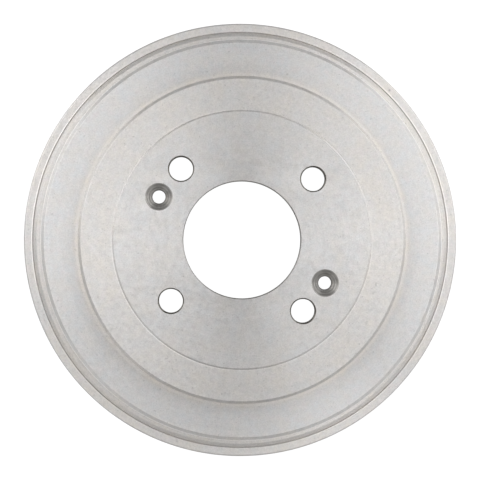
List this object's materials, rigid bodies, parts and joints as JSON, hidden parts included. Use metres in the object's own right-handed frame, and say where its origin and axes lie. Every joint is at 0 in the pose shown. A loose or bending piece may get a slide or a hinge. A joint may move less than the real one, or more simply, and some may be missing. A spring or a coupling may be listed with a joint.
{
  "type": "brake drum",
  "caption": "Round brake drum with a raised hub, a centre bore, stud holes, countersunk screw holes and a flanged open rim.",
  "frame": {"origin": "centre of the open rim's face, on the drum's axis, where the drum rests", "axes": "+Z along the axis from the open rim to the wheel face, +X and +Y midway between stud holes"},
  "size_m": [0.2394, 0.2394, 0.058],
  "materials": {
    "turned_iron": "fine turned, bare metal"
  },
  "bodies": {
    "root": {"brake_drum": "turned_iron"}
  },
  "joints": []
}
